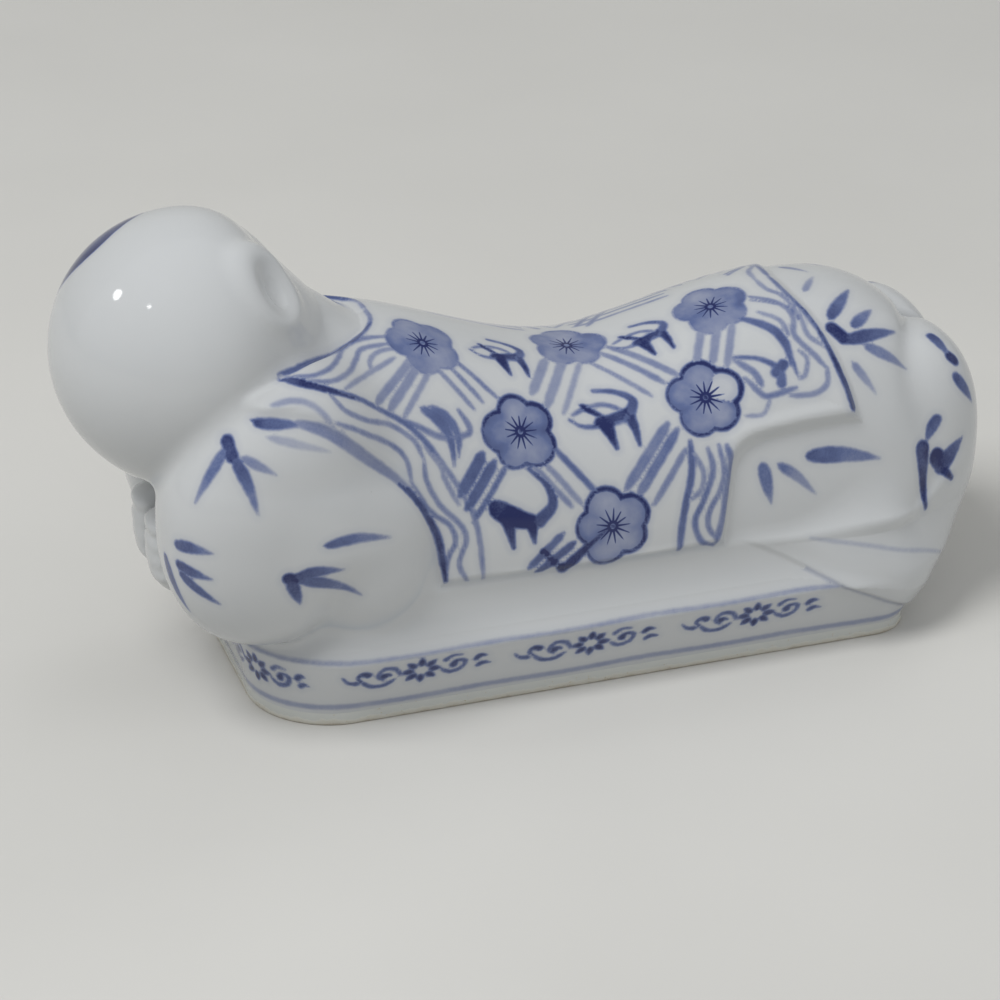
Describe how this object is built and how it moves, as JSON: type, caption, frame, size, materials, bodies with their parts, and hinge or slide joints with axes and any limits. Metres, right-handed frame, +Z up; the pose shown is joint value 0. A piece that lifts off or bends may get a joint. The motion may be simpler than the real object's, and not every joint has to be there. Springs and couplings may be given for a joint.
{
  "type": "chinese ceramic pillow",
  "caption": "Porcelain neck pillow in the form of a child lying face down on a low plinth, the saddle of its back taking the neck, painted under the glaze in cobalt blue.",
  "frame": {"origin": "middle of the foot ring, on the plane the pillow stands on", "axes": "+X along the pillow toward the feet, +Y away from the viewer of the picture, +Z up"},
  "size_m": [0.1721, 0.07, 0.0896],
  "materials": {
    "clear_glaze": "glossy",
    "cobalt_glaze": "glossy",
    "biscuit": "matte"
  },
  "bodies": {
    "root": {"base_slab": "biscuit", "plinth": "clear_glaze", "body_shell": "clear_glaze", "vest": "cobalt_glaze", "trouser_hem": "clear_glaze", "left_sleeve": "clear_glaze", "right_sleeve": "clear_glaze", "left_hand": "clear_glaze", "right_hand": "clear_glaze", "left_foot": "clear_glaze", "right_foot": "clear_glaze", "head": "clear_glaze", "right_ear": "clear_glaze"}
  },
  "joints": []
}
